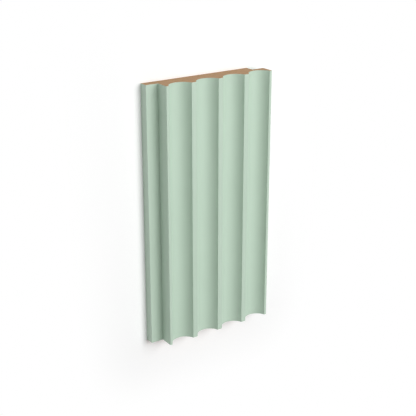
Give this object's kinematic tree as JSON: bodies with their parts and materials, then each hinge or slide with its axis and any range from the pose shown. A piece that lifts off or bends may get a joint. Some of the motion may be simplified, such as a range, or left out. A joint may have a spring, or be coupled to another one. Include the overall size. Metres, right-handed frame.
{
  "type": "fluted wall panel",
  "caption": "Short length of fluted MDF wall panel with round flutes between narrow flat lands, and a tongue and a rebated lip on its long edges that lap onto like panels.",
  "frame": {"origin": "on the back, in the middle of the panel's outline seen from the face", "axes": "+X across the flutes from the tongue edge to the lip edge, +Y along the flutes towards the head end, +Z out of the fluted face; the panel lies on its back"},
  "size_m": [0.1016, 0.2, 0.018],
  "materials": {
    "painted_mdf": "matte"
  },
  "bodies": {
    "root": {"fluted_panel": "painted_mdf"}
  },
  "joints": []
}
